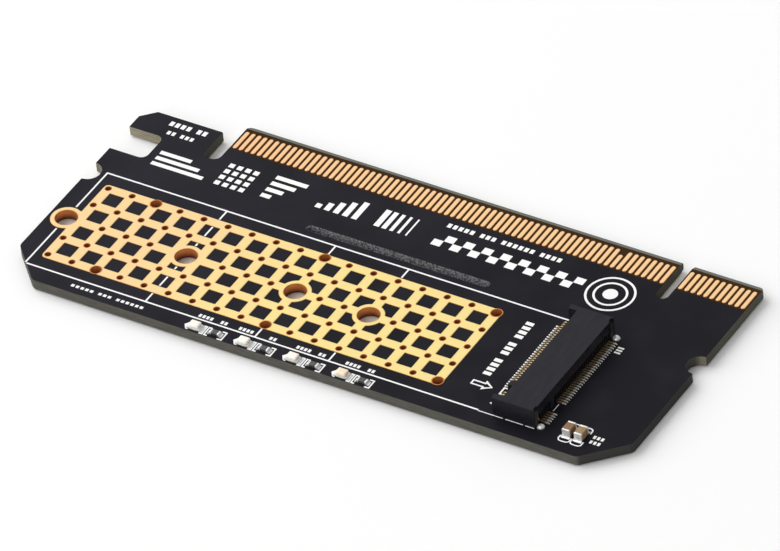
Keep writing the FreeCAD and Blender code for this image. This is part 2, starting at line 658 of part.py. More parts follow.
partRow = f"({front} + part_row)"
for index in range(int(number("lamp_count"))):
    place = f"(-lamp_first + {index} * lamp_pitch)"
    subparts += chip(f"lamp_{index + 1}", place, partRow, "lamp_length", "lamp_width", "lamp_base", lens=True)
    subparts += chip(f"resistor_{index + 1}", f"{place} + resistor_offset", partRow, "resistor_length",
                     "resistor_width", "resistor_height")
for index in range(2):
    subparts += chip(f"capacitor_{index + 1}", f"capacitor_reach + {index} * capacitor_pitch",
                     f"{front} + capacitor_row", "capacitor_length", "capacitor_width", "capacitor_height",
                     turned=True)

doc.recompute()
for item in doc.Objects:
    if "Invalid" in item.State or "Error" in item.State:
        raise RuntimeError(item.Label + " did not build: " + str(item.State))
for piece in subparts:
    if piece.Shape.isNull() or not piece.Shape.isValid() or not piece.Shape.Solids:
        raise RuntimeError(piece.Label + " is not a valid solid")
for piece in subparts:
    piece.Shape.exportStep("parts/%s.step" % piece.Label)
    print(piece.Label, len(piece.Shape.Solids), round(piece.Shape.Volume, 3))
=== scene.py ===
import json
import math
import bmesh
import bpy
import numpy as np
from mathutils import Matrix, Vector
from mathutils.geometry import delaunay_2d_cdt


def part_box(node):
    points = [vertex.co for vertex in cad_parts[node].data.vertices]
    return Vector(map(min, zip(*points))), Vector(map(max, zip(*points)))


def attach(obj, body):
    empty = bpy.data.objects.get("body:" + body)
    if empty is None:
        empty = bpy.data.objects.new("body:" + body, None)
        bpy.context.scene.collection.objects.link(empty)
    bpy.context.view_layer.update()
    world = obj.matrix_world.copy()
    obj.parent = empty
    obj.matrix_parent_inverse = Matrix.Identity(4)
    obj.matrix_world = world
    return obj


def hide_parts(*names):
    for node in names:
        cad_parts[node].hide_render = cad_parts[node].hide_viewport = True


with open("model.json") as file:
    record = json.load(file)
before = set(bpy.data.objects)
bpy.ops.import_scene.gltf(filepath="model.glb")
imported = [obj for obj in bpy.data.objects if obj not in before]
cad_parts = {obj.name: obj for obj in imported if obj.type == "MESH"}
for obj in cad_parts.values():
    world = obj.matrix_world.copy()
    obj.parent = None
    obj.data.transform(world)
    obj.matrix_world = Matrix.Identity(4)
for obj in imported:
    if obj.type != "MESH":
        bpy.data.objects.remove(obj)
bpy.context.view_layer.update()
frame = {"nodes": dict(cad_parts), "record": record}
print("stage: frame loaded")

# lengths below are in millimetres and become metres where a mesh is made
mm = 0.001
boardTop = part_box("circuit_board")[1].z / mm
boardUnder = -boardTop
mountPlace = {m["name"]: np.array(m["pos_m"]) / mm for m in frame["record"]["mounts"]}
driveStop = mountPlace["drive_socket"][0]
driveLine = mountPlace["drive_socket"][1]


# materials

def hexColor(code):
    # sRGB hex to linear: c / 12.92 up to 0.04045, above it ((c + 0.055) / 1.055) ^ 2.4
    channels = [int(code[i:i + 2], 16) / 255 for i in (1, 3, 5)]
    return [c / 12.92 if c <= 0.04045 else ((c + 0.055) / 1.055) ** 2.4 for c in channels] + [1.0]


def node(tree, kind, sockets=None, stops=(), **settings):
    # adds one node; a socket is given a value, or the node or the output that feeds it; the stops
    # are the places and colours of a ramp
    made = tree.nodes.new("ShaderNode" + kind)
    for name, value in settings.items():
        setattr(made, name, value)
    for name, value in (sockets or {}).items():
        if isinstance(value, bpy.types.Node):
            value = value.outputs[0]
        if isinstance(value, bpy.types.NodeSocket):
            tree.links.new(value, made.inputs[name])
        else:
            made.inputs[name].default_value = value
    for index, (position, color) in enumerate(stops):
        elements = made.color_ramp.elements
        if index == len(elements):
            elements.new(position)
        elements[index].position = position
        elements[index].color = hexColor(color)
    return made


def startMaterial(name):
    # an empty material, its tree, and the object's own coordinates turned to millimetres
    material = bpy.data.materials.new(name)
    material.use_nodes = True
    tree = material.node_tree
    tree.nodes.clear()
    spot = node(tree, "TexCoord")
    return material, tree, node(tree, "Mapping", {"Vector": spot.outputs["Object"], "Scale": (1 / mm,) * 3})


def finishMaterial(material, shader):
    # the shader with its values and all that feeds it, and the output
    surface = node(material.node_tree, "BsdfPrincipled", shader)
    node(material.node_tree, "OutputMaterial", {"Surface": surface})
    return material


def roughen(tree, place, grain, depth, **under):
    # relief from one noise, its grain and its depth in mm, over another relief where there is one
    noise = node(tree, "TexNoise", {"Vector": place, "Scale": 1 / grain, "Detail": 3.0})
    bump = node(tree, "Bump", {"Height": noise, "Distance": depth * mm, "Strength": 1.0, **under})
    return noise, bump


def grained(name, shader, grain, depth, dark, pale, end=0.7):
    # a finish that needs no more than its own grain, from a dark to a pale tone
    material, tree, place = startMaterial(name)
    noise, bump = roughen(tree, place, grain, depth)
    tone = node(tree, "ValToRGB", {"Fac": noise}, [(0.3, dark), (end, pale)])
    return finishMaterial(material, {"Base Color": tone, "Normal": bump, **shader})


# matt black solder mask on woven glass laminate: a soft dark film, bare brown under the contacts,
# and grey and fibrous at the routed edges
boardLook = dict(mask="#16151c", maskLight="#24232a", bare="#3f2509", bareDark="#2c1906", bareDrop=0.02,
                 edge="#504f49", edgePale="#605f58", edgeRear="#847e6e", edgeRearPale="#9f9885",
                 smoothShadedSide="#393836", smoothShadedSideRear="#54534a", bevel="#6e7066", layer=0.19,
                 slotWall="#49494b", slotPale="#a3a3a5", scallop=0.3,
                 slotMiddle=(driveStop - 33.0, driveLine + 12.75, 0.0), slotReach=(15.4, 0.9, 2.0),
                 grain=0.25, grainDepth=0.008, weave=0.5, weaveDepth=0.004)


def routedWalls(tree, place, spot, facing):
    # colour of the upright walls: front and rear of the outline, the rear ones paler as painted light, the
    # smooth sides darker as painted shade, the routed slot
    look = boardLook
    # resin and glass layers show as lines round the edge
    stretched = node(tree, "Mapping", {"Vector": place, "Scale": (0.5, 0.5, 1 / look["layer"])})
    layers = node(tree, "TexNoise", {"Vector": stretched, "Scale": 1.0, "Detail": 3.0})
    front = node(tree, "ValToRGB", {"Fac": layers}, [(0.35, look["edge"]), (0.68, look["edgePale"])])
    rear = node(tree, "ValToRGB", {"Fac": layers}, [(0.35, look["edgeRear"]), (0.68, look["edgeRearPale"])])
    # painted light: from y -22 to -12 mm the walls go from the darker front tones to the paler rear ones
    depth = node(tree, "MapRange", {"Value": spot.outputs["Y"], "From Min": -22.0, "From Max": -12.0})
    outer = node(tree, "Mix", {0: depth, 6: front, 7: rear}, data_type="RGBA")
    # the cutter leaves the sides that face the socket's end of the card smooth; their dark tone is painted
    # shade
    smooth = node(tree, "Mix", {0: depth, 6: hexColor(look["smoothShadedSide"]), 7: hexColor(look["smoothShadedSideRear"])},
                  data_type="RGBA")
    side = node(tree, "MapRange", {"Value": facing.outputs["X"], "From Min": 0.35, "From Max": 0.75})
    sided = node(tree, "Mix", {0: side, 6: outer.outputs[2], 7: smooth.outputs[2]}, data_type="RGBA")
    # torn glass ends stand out as pale flecks along the routed slot
    flecks = node(tree, "TexVoronoi", {"Vector": place, "Scale": 1 / look["scallop"]})
    torn = node(tree, "TexNoise", {"Vector": place, "Scale": 3.0, "Detail": 3.0})
    fleck = node(tree, "Math", {0: flecks, 1: -0.45, 2: torn}, operation="MULTIPLY_ADD")
    slot = node(tree, "ValToRGB", {"Fac": fleck}, [(0.1, look["slotWall"]), (0.5, look["slotPale"])])
    # a wall is the slot's where it stands within the slot's reach of the slot's middle
    away = node(tree, "VectorMath", {0: place, 1: look["slotMiddle"]}, operation="SUBTRACT")
    reach = node(tree, "VectorMath", {0: away, 1: look["slotReach"]}, operation="DIVIDE")
    far = node(tree, "VectorMath", {0: reach}, operation="ABSOLUTE")
    parts = node(tree, "SeparateXYZ", {"Vector": far})
    most = node(tree, "Math", {0: parts.outputs["X"], 1: parts.outputs["Y"]}, operation="MAXIMUM")
    inSlot = node(tree, "Math", {0: most, 1: 1.0}, operation="LESS_THAN")
    walls = node(tree, "Mix", {0: inSlot, 6: sided.outputs[2], 7: slot}, data_type="RGBA")
    return walls.outputs[2]


def solderMaskOnLaminate():
    look = boardLook
    material, tree, place = startMaterial("solderMaskOnLaminate")
    shape = node(tree, "NewGeometry")
    facing = node(tree, "SeparateXYZ", {"Vector": shape.outputs["True Normal"]})
    spot = node(tree, "SeparateXYZ", {"Vector": place})
    # painted light: the film is a little paler towards the left end of the card, where more light falls
    cloud = node(tree, "TexNoise", {"Vector": place, "Scale": 0.12, "Detail": 4.0})
    along = node(tree, "MapRange", {"Value": spot.outputs["X"], "From Min": -80.0, "From Max": 5.0})
    shade = node(tree, "Math", {0: along, 1: -0.5, 2: cloud}, operation="MULTIPLY_ADD")
    film = node(tree, "ValToRGB", {"Fac": shade}, [(0.0, look["mask"]), (0.6, look["maskLight"])])
    # the bare opening lies a little lower than the film
    fibre = node(tree, "TexNoise", {"Vector": place, "Scale": 2.2, "Detail": 5.0})
    bare = node(tree, "ValToRGB", {"Fac": fibre}, [(0.2, look["bareDark"]), (0.75, look["bare"])])
    height = node(tree, "Math", {0: spot.outputs["Z"]}, operation="ABSOLUTE")
    lower = node(tree, "Math", {0: height, 1: boardTop - look["bareDrop"]}, operation="LESS_THAN")
    flat = node(tree, "Mix", {0: lower, 6: film, 7: bare}, data_type="RGBA")
    # level faces, then the ground bevel of the nose, then the walls
    upright = node(tree, "Math", {0: facing.outputs["Z"]}, operation="ABSOLUTE")
    leaning = node(tree, "Math", {0: upright, 1: 0.995}, operation="LESS_THAN")
    sloped = node(tree, "Mix", {0: leaning, 6: flat.outputs[2], 7: hexColor(look["bevel"])}, data_type="RGBA")
    standing = node(tree, "Math", {0: upright, 1: 0.5}, operation="LESS_THAN")
    walls = routedWalls(tree, place, spot, facing)
    whole = node(tree, "Mix", {0: standing, 6: sloped.outputs[2], 7: walls}, data_type="RGBA")
    rough = node(tree, "MapRange", {"Value": leaning, "To Min": 0.5, "To Max": 0.8})
    # the cloth's crossings stand under the film as a shallow print, one crossing in half a millimetre
    weave = node(tree, "TexVoronoi", {"Vector": place, "Scale": 1 / look["weave"]})
    relief = node(tree, "Bump", {"Height": weave, "Distance": look["weaveDepth"] * mm, "Strength": 0.5})
    bump = roughen(tree, place, look["grain"], look["grainDepth"], Normal=relief)[1]
    return finishMaterial(material, {"Base Color": whole.outputs[2], "Roughness": rough, "Normal": bump,
                                     "Specular IOR Level": 0.06})


def goldOnNickel(name, left, right, roughness):
    # gold a few hundredths of a micron thick on nickel: a pale warm metal, soft in its shine,
    # a little redder at the left end of the card than from its middle on
    material, tree, place = startMaterial(name)
    spot = node(tree, "SeparateXYZ", {"Vector": place})
    along = node(tree, "MapRange", {"Value": spot.outputs["X"], "From Min": -82.0, "From Max": -44.0})
    cloud = node(tree, "TexNoise", {"Vector": place, "Scale": 0.09, "Detail": 2.0})
    sway = node(tree, "Math", {0: cloud, 1: along, 2: -0.45}, operation="MULTIPLY_ADD")
    drift = node(tree, "Math", {0: along, 1: sway}, operation="ADD")
    tone = node(tree, "ValToRGB", {"Fac": drift}, [(0.0, left), (0.9, right)])
    bump = roughen(tree, place, 0.12, 0.004)[1]
    return finishMaterial(material, {"Base Color": tone, "Normal": bump, "Metallic": 0.82,
                                     "Roughness": roughness})


def platedHoleWall():
    # thick copper in the wide holes: orange at the rim, with painted shade turning it brown lower down, where
    # less light reaches
    material, tree, place = startMaterial("platedHoleWall")
    noise, bump = roughen(tree, place, 0.15, 0.01)
    spot = node(tree, "SeparateXYZ", {"Vector": place})
    # painted shade: the wall darkens from the grid's top down to the card's underside
    level = node(tree, "MapRange", {"Value": spot.outputs["Z"], "From Min": boardUnder, "From Max": boardTop})
    sway = node(tree, "Math", {0: noise, 1: 0.3, 2: level}, operation="MULTIPLY_ADD")
    tone = node(tree, "ValToRGB", {"Fac": sway}, [(0.2, "#34180c"), (0.5, "#a85c28"), (0.9, "#d98c4c")])
    return finishMaterial(material, {"Base Color": tone, "Normal": bump, "Metallic": 0.55, "Roughness": 0.35})


def glassFilledNylon():
    # black moulded socket plastic with glass fibre: satin top, faint flow marks along the mould
    material, tree, place = startMaterial("glassFilledNylon")
    flow = node(tree, "Mapping", {"Vector": place, "Scale": (1.6, 0.35, 1.6)})
    marks = node(tree, "TexNoise", {"Vector": flow, "Scale": 1.0, "Detail": 5.0})
    tone = node(tree, "ValToRGB", {"Fac": marks}, [(0.3, "#15151b"), (0.7, "#1d1d25")])
    bump = roughen(tree, place, 0.09, 0.01)[1]
    return finishMaterial(material, {"Base Color": tone, "Normal": bump, "Roughness": 0.4,
                                     "Specular IOR Level": 0.16})


boardFilm = solderMaskOnLaminate()
gridGold = goldOnNickel("immersionGoldGrid", "#e8c993", "#ead48e", 0.42)
contactGold = goldOnNickel("hardGoldContacts", "#efc090", "#f0c794", 0.36)
# etched flanks, in a darker and more orange gold than the level tops
gridEdge = goldOnNickel("goldGridEdge", "#c98f5c", "#c9974f", 0.35)
contactEdge = goldOnNickel("goldContactEdge", "#c48a58", "#c98f58", 0.35)
holeCopper = platedHoleWall()
socketPlastic = glassFilledNylon()

# drilled and plated copper: the wall of a small hole, red and in its own shadow
viaCopper = grained("drilledCopper", {"Metallic": 0.3, "Roughness": 0.5}, 0.08, 0.01, "#8f451a", "#b8662e")
# screen printed epoxy ink: flat white with a dry, slightly broken surface
whiteInk = grained("printedInk", {"Roughness": 0.6}, 0.1, 0.006, "#ececeb", "#f7f7f6", end=0.6)
# stamped copper alloy with a flash of gold: warm, bright at the bends
pinGold = grained("platedPinMetal", {"Metallic": 0.85, "Roughness": 0.3}, 0.2, 0.004, "#a98a63", "#e6cfa4")
# barrel plated tin on the ends of the small parts: near white, with soft mirrors
brightTin = grained("brightTin", {"Metallic": 0.5, "Roughness": 0.3}, 0.25, 0.01, "#d2d0ce", "#f2f1ee")
# solder that has flowed and set: bright, a little uneven
satinSolder = grained("satinSolder", {"Metallic": 0.5, "Roughness": 0.28}, 0.3, 0.02, "#d0d0d0", "#f4f4f2")
# stamped and tinned hold-downs, painted dark grey as the shade of the moulding
shadePaintedTin = grained("holdDownTin", {"Metallic": 0.7, "Roughness": 0.4}, 0.3, 0.01, "#3a3937", "#5d5b57")
# cast milky resin over the lamp's chip: waxy, light passes a short way into it
lampResin = {"Roughness": 0.3, "Subsurface Weight": 0.3, "Subsurface Scale": 0.3 * mm}
milkyResin = grained("milkyResin", lampResin, 0.4, 0.01, "#efeadd", "#fbf9f2")
amberResin = grained("amberResin", lampResin, 0.4, 0.01, "#efd8b8", "#f8ead0")
whiteBase = grained("lampBaseResin", lampResin, 0.4, 0.01, "#d8d4ca", "#ece9e0")
# pressed and fired ceramic: a fine dull grain, and a thin glaze on the resistors
darkGlaze = grained("resistorGlaze", {"Roughness": 0.35}, 0.1, 0.008, "#38383a", "#4d4d50")
brownCeramic = grained("capacitorCeramicBrown", {"Roughness": 0.6}, 0.1, 0.008, "#7b5737", "#93704b")
tanCeramic = grained("capacitorCeramicTan", {"Roughness": 0.6}, 0.1, 0.008, "#86694a", "#a5875f")
print("stage: materials")


# meshes

def addObject(name, data):
    # a new object in the scene
    thing = bpy.data.objects.new(name, data)
    bpy.context.scene.collection.objects.link(thing)
    return thing


def makePiece(name, points, faces, material, slot, replaced=(), smooth=False):
    # points in mm; faces are lists of indices; the piece rides on the card; the slot is not used
    mesh = bpy.data.meshes.new(name)
    mesh.from_pydata((points * mm).tolist(), [], faces)
    mesh.validate()
    mesh.update()
    mesh.materials.append(material)
    mesh.polygons.foreach_set("use_smooth", np.full(len(mesh.polygons), smooth))
    piece = addObject(name, mesh)
    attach(piece, "root")
    if replaced:
        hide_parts(*replaced)
    return piece


def finishEdges(piece, material):
    # every face that isn't level takes the second material
    normals = np.empty(len(piece.data.polygons) * 3)
    piece.data.polygons.foreach_get("normal", normals)
    piece.data.materials.append(material)
    piece.data.polygons.foreach_set("material_index", (np.abs(normals[2::3]) < 0.95).astype(int))


def mergeDoubles(piece, distance=1e-7):
    # joins the points that fall together at poles and corners
    work = bmesh.new()
    work.from_mesh(piece.data)
    bmesh.ops.remove_doubles(work, verts=work.verts, dist=distance)
    bmesh.ops.recalc_face_normals(work, faces=work.faces)
    work.to_mesh(piece.data)
    work.free()
    return piece


def nodeBox(name):
    # lowest and highest corner of a CAD node, in mm
    return [np.array(corner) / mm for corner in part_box(name)]


def nodeSpots(name):
    # the points of a CAD node's mesh, in mm
    mesh = frame["nodes"][name].data
    spots = np.empty(len(mesh.vertices) * 3)
    mesh.vertices.foreach_get("co", spots)
    return spots.reshape(-1, 3) / mm


def joined(solids):
    # several solids as one, each one's points counted on from the last
    points, faces, base = [], [], 0
    for p, f in solids:
        points.append(p)
        faces += [tuple(i + base for i in face) for face in f]
        base += len(p)
    return np.vstack(points), faces


def alongRow(solid, places, x=0.0):
    # copies one small solid to each y of a row
    points, faces = solid
    return joined([(points + (x, y, 0.0), faces) for y in places])


def insideLoops(spots, loops):
    # even-odd rule: counts the loop edges that a line from each spot towards +x crosses
    count = np.zeros(len(spots), int)
    for loop in loops:
        a = loop
        b = np.roll(loop, -1, axis=0)
        spans = (a[:, 1][:, None] > spots[:, 1]) != (b[:, 1][:, None] > spots[:, 1])
        rise = np.where(b[:, 1] == a[:, 1], 1.0, b[:, 1] - a[:, 1])
        cross = a[:, 0][:, None] + (spots[:, 1] - a[:, 1][:, None]) * ((b[:, 0] - a[:, 0]) / rise)[:, None]
        count += (spans & (spots[:, 0] < cross)).sum(0)
    return count % 2 == 1


def cutSheet(loops, low, high, slope=0.0):
    # a flat sheet between two heights: triangles between the loops, kept where the count of
    # enclosing loops is odd, once above and once turned below, with a wall on every open edge;
    # the upper rim draws in by slope * (n1 + n2) / (1 + n1 . n2), where n1 and n2 are the inward
    # normals of the two rim edges at a point
    points = np.concatenate(loops)
    starts = np.cumsum([0] + [len(loop) for loop in loops])
    edges = [(s + i, s + (i + 1) % len(loop)) for s, loop in zip(starts, loops) for i in range(len(loop))]
    spots, _, faces, *_ = delaunay_2d_cdt([Vector(p) for p in points.tolist()], edges, [], 0, 1e-7)
    spots = np.array([tuple(p) for p in spots])
    faces = np.array([f for f in faces if len(f) == 3])
    kept = faces[insideLoops(spots[faces].mean(1), loops)]
    a, b, c = spots[kept[:, 0]], spots[kept[:, 1]], spots[kept[:, 2]]
    turned = (b[:, 0] - a[:, 0]) * (c[:, 1] - a[:, 1]) - (b[:, 1] - a[:, 1]) * (c[:, 0] - a[:, 0]) < 0
    kept[turned] = kept[turned][:, ::-1]
    total = len(spots)
    sides = np.concatenate([kept[:, [0, 1]], kept[:, [1, 2]], kept[:, [2, 0]]])
    keys = set(map(tuple, sides.tolist()))
    rim = np.array([s for s in keys if (s[1], s[0]) not in keys])
    walls = np.c_[rim[:, 1], rim[:, 0], rim[:, 0] + total, rim[:, 1] + total][:, ::-1]
    body = (kept + total).tolist() + kept[:, ::-1].tolist()
    run = spots[rim[:, 1]] - spots[rim[:, 0]]
    inward = np.c_[-run[:, 1], run[:, 0]] / np.maximum(np.linalg.norm(run, axis=1), 1e-9)[:, None]
    leaving, reaching = np.zeros((total, 2)), np.zeros((total, 2))
    leaving[rim[:, 0]], reaching[rim[:, 1]] = inward, inward
    miter = slope / np.maximum(1 + (leaving * reaching).sum(1), 0.3)
    drawnIn = spots + (leaving + reaching) * miter[:, None]
    solid = np.vstack([np.c_[spots, np.full(total, low)], np.c_[drawnIn, np.full(total, high)]])
    return solid, body + walls.tolist()


def circle(x, y, radius, count=28):
    # points evenly round a centre
    turn = np.linspace(0, 2 * math.pi, count, endpoint=False)
    return np.c_[x + radius * np.cos(turn), y + radius * np.sin(turn)]


def roundedBox(x0, y0, x1, y1, radius=0.0, count=5):
    # four quarter arcs about the inner corners
    quarter = np.linspace(0, math.pi / 2, count if radius else 1)
    centres = [(x1 - radius, y1 - radius), (x0 + radius, y1 - radius), (x0 + radius, y0 + radius),
               (x1 - radius, y0 + radius)]
    arcs = []
    for turns, (x, y) in enumerate(centres):
        angle = quarter + turns * math.pi / 2
        arcs.append(np.c_[x + radius * np.cos(angle), y + radius * np.sin(angle)])
    return np.concatenate(arcs)


def dense(loop, step=0.15):
    # the same closed loop with more points along its straight runs
    ends = np.roll(loop, -1, axis=0)
    counts = np.maximum(1, np.ceil(np.linalg.norm(ends - loop, axis=1) / step)).astype(int)
    return np.concatenate([a + (b - a) * np.linspace(0, 1, n, endpoint=False)[:, None]
                           for a, b, n in zip(loop, ends, counts)])


def withDisc(loop, centre, radius, add, count=24):
    # joins a disc to the loop, or bites it out: the loop's points in the disc give way to its arc
    fine = dense(loop)
    offset = fine - centre
    outside = np.hypot(offset[:, 0], offset[:, 1]) >= radius
    if outside.all() or not outside.any():
        return loop
    first = int(np.flatnonzero(outside & ~np.roll(outside, 1))[0])
    run = np.roll(fine, -first, axis=0)[:int(outside.sum())]
    start = math.atan2(*(run[-1] - centre)[::-1])
    end = math.atan2(*(run[0] - centre)[::-1])
    sweep = (end - start) % (2 * math.pi)
    if not add:
        sweep -= 2 * math.pi
    turn = start + np.linspace(0, 1, count + 1)[1:-1] * sweep
    return np.concatenate([run, np.c_[centre[0] + radius * np.cos(turn), centre[1] + radius * np.sin(turn)]])


def ringQuads(rows, columns, first=0):
    # joins each closed ring of points to the next one, four points at a time
    index = first + np.arange(rows * columns).reshape(rows, columns)
    after = np.roll(index, -1, axis=1)
    return np.stack([index[:-1], index[1:], after[1:], after[:-1]], axis=-1).reshape(-1, 4)


def softBlock(low, high, radius, steps=3):
    # rounded box: at azimuth u and elevation v the point is the inner corner of that octant
    # plus radius times the direction (cos v cos u, cos v sin u, sin v)
    low, high = np.array(low, float), np.array(high, float)
    half = (high - low) / 2 - radius
    quarter = np.linspace(0, math.pi / 2, steps + 1)
    u = np.concatenate([quarter + i * math.pi / 2 for i in range(4)])
    signX = np.repeat([1, -1, -1, 1], steps + 1)
    signY = np.repeat([1, 1, -1, -1], steps + 1)
    v = np.concatenate([quarter - math.pi / 2, quarter])
    signZ = np.repeat([-1, 1], steps + 1)
    grid = np.stack([
        signX * half[0] + radius * np.outer(np.cos(v), np.cos(u)),
        signY * half[1] + radius * np.outer(np.cos(v), np.sin(u)),
        (signZ * half[2] + radius * np.sin(v))[:, None] * np.ones(len(u))], axis=-1) + (low + high) / 2
    faces = ringQuads(len(v), len(u))[:, [0, 3, 2, 1]].tolist()
    corner = np.arange(4) * (steps + 1)
    top = (len(v) - 1) * len(u)
    return grid.reshape(-1, 3), faces + [(top + corner).tolist(), corner[::-1].tolist()]


def bentStrip(path, width, thickness):
    # a stamped strip: its outline follows the path at half the thickness either side, in x and z,
    # and it is as wide as given along y
    along = np.gradient(path, axis=0)
    along /= np.linalg.norm(along, axis=1)[:, None]
    normal = np.c_[-along[:, 1], along[:, 0]] * thickness / 2
    rails = [(path + normal, -width / 2), (path + normal, width / 2), (path - normal, width / 2),
             (path - normal, -width / 2)]
    points = np.stack([np.c_[r[:, 0], np.full(len(path), y), r[:, 1]] for r, y in rails], axis=1)
    end = 4 * len(path)
    faces = ringQuads(len(path), 4).tolist() + [range(4), range(end - 1, end - 5, -1)]
    return points.reshape(-1, 3), faces


def softened(corners, radius, count=5):
    # a line through the corners, each corner turned on a quadratic curve of about that radius
    corners = [np.array(c, float) for c in corners]
    path = [corners[0]]
    for before, corner, after in zip(corners, corners[1:], corners[2:]):
        a = corner + (before - corner) * min(0.5, radius / np.linalg.norm(before - corner))
        b = corner + (after - corner) * min(0.5, radius / np.linalg.norm(after - corner))
        t = np.linspace(0, 1, count)[:, None]
        path += list((1 - t) ** 2 * a + 2 * t * (1 - t) * corner + t ** 2 * b)
    path.append(corners[-1])
    return np.array(path)


# thermal grid: strips with windows between them, holes at the crossings, rings for the standoffs
gridShape = dict(pitch=4.0, columns=16, rows=4, strip=1.6, corner=0.7, windowCorner=0.09, smallHole=0.46,
                 largeHole=0.87, ring=2.35, bore=1.7, boreLip=0.05, thickness=0.05, slope=0.07, reach=78.0,
                 sink=0.01, largeColumns=(2, 9, 16), middleRuns=((1, 3), (6, 11)))
gridLeft = driveStop - gridShape["reach"]
gridLow = driveLine - gridShape["rows"] / 2 * gridShape["pitch"]
gridTop = boardTop + gridShape["thickness"]
boreCentres = [mountPlace[name][:2] for name in sorted(mountPlace) if name.startswith("standoff")]


def gridNode(column, row):
    # where two strips cross
    return np.array([gridLeft + column * gridShape["pitch"], gridLow + row * gridShape["pitch"]])


def smallHoleCentres():
    # crossings without a large hole and clear of the rings; runs of them in the middle row
    shape = gridShape
    outer = [gridNode(c, r) for r in (0, 1, 3, 4) for c in range(shape["columns"] + 1)
             if not (r in (0, shape["rows"]) and c in shape["largeColumns"])]
    middle = [gridNode(start + k, 2) for start, count in shape["middleRuns"] for k in range(count)]
    return [c for c in outer + middle if min(np.hypot(*(c - b)) for b in boreCentres) > shape["ring"]]


def largeHoleCentres():
    return [gridNode(c, r) for r in (0, gridShape["rows"]) for c in gridShape["largeColumns"]]


def thermalGrid():
    # the large holes bite into the border, and the last standoff's ring stands out of it
    shape = gridShape
    half = shape["strip"] / 2
    lowCorner, highCorner = gridNode(0, 0), gridNode(shape["columns"], shape["rows"])
    border = roundedBox(*(lowCorner - half), *(highCorner + half), shape["corner"])
    for centre in largeHoleCentres():
        border = withDisc(border, centre, shape["largeHole"], add=False, count=40)
    loops = [withDisc(border, boreCentres[-1], shape["ring"], add=True, count=40)]
    for column in range(shape["columns"]):
        for row in range(shape["rows"]):
            a, b = gridNode(column, row) + half, gridNode(column + 1, row + 1) - half
            window = roundedBox(*a, *b, shape["windowCorner"], count=4)
            for centre in boreCentres:
                window = withDisc(window, centre, shape["ring"], add=False)
            loops.append(window)
    loops += [circle(*c, shape["smallHole"], 20) for c in smallHoleCentres()]
    loops += [circle(*c, shape["bore"] - shape["boreLip"], 42) for c in boreCentres]
    sheet = makePiece("grid_sheet", *cutSheet(loops, boardTop - shape["sink"], gridTop, shape["slope"]),
                      gridGold, "gold", ["thermal_grid"])
    finishEdges(sheet, gridEdge)


def tube(centre, inner, outer, low, high, count):
    # a plated barrel: the square section (inner, outer) by (low, high) turned about the hole
    section = [(inner, high), (outer, high), (outer, low), (inner, low)]
    points = np.vstack([np.c_[circle(*centre, r, count), np.full(count, z)] for r, z in section])
    return points, (ringQuads(5, count) % len(points)).tolist()


# for each kind of hole: its barrel from and to these distances off the radius in gridShape, and off
# the board's underside and the grid's top; the copper round it on the underside, off the radius
holeShape = dict(smallHole=dict(piece="small_hole_walls", wall=(-0.04, 0.05), ends=(-0.002, -0.004),
                                pad=(-0.02, 0.28), sides=16, padSides=20),
                 largeHole=dict(piece="large_hole_walls", wall=(-0.06, 0.04), ends=(-0.002, 0.002),
                                pad=(-0.02, 0.26), sides=32, padSides=32),
                 bore=dict(piece="bore_walls", wall=(-0.03, 0.005), ends=(0.0, -0.002),
                           pad=(-0.02, 0.65), sides=48, padSides=48))
padShape = dict(proud=0.003, sink=0.01)


def holeWalls():
    centres = dict(smallHole=smallHoleCentres(), largeHole=largeHoleCentres(), bore=boreCentres)
    pads = []
    for kind, shape in holeShape.items():
        radius = gridShape[kind]
        inner, outer = (radius + off for off in shape["wall"])
        low, high = boardUnder + shape["ends"][0], gridTop + shape["ends"][1]
        tubes = [tube(c, inner, outer, low, high, shape["sides"]) for c in centres[kind]]
        makePiece(shape["piece"], *joined(tubes), viaCopper if kind == "smallHole" else holeCopper, "gold")
        pads += [circle(*c, radius + off, shape["padSides"]) for c in centres[kind] for off in shape["pad"]]
    low, high = boardUnder - padShape["proud"], boardUnder + padShape["sink"]
    makePiece("underside_pads", *cutSheet(pads, low, high), gridGold, "gold")


thermalGrid()
holeWalls()
print("stage: thermal grid")


# edge contacts: plates with round ends and sloped rims
contactShape = dict(width=0.7, slope=0.07, round=0.98, proud=0.004)


def edgeContacts(name):
    # each plate takes its place and length from the CAD group of the same name
    shape = contactShape
    low, high = nodeBox(name)
    spots = nodeSpots(name)
    loops = []
    for left in np.unique(np.round(spots[:, 0], 3))[::2]:
        mine = spots[np.abs(spots[:, 0] - left) < 0.01]
        loops.append(roundedBox(left, mine[:, 1].min(), left + shape["width"], mine[:, 1].max(),
                                shape["width"] / 2 * shape["round"]))
    inner, outer = (low[2], high[2] + shape["proud"]) if high[2] > 0 else (high[2], low[2])
    plates = makePiece(name.replace("contacts", "plates"), *cutSheet(loops, inner, outer, shape["slope"]),
                       contactGold, "contacts", [name])
    finishEdges(mergeDoubles(plates), contactEdge)


for side in ("front", "back"):
    for run in ("long", "short"):
        edgeContacts(side + "_contacts_" + run)
print("stage: edge contacts")


# print: all its places run from the grid's first hole
inkShape = dict(thickness=0.012, sink=0.01)


def band(path, width):
    # a line of that width along a straight or smooth path: half of it to either side of the path
    path = np.array(path, float)
    along = np.gradient(path, axis=0)
    along /= np.linalg.norm(along, axis=1)[:, None]
    side = np.c_[-along[:, 1], along[:, 0]] * width / 2
    return np.concatenate([path + side, (path - side)[::-1]])


def bracket(x, y0, y1, toward, depth, width):
    # one upright line with a foot at each end that points the given way, as one closed loop
    half, foot = toward * width / 2, toward * depth
    return [[np.array([(x + foot, y0 - width / 2), (x - half, y0 - width / 2), (x - half, y1 + width / 2),
                       (x + foot, y1 + width / 2), (x + foot, y1 - width / 2), (x + half, y1 - width / 2),
                       (x + half, y0 + width / 2), (x + foot, y0 + width / 2)])]]


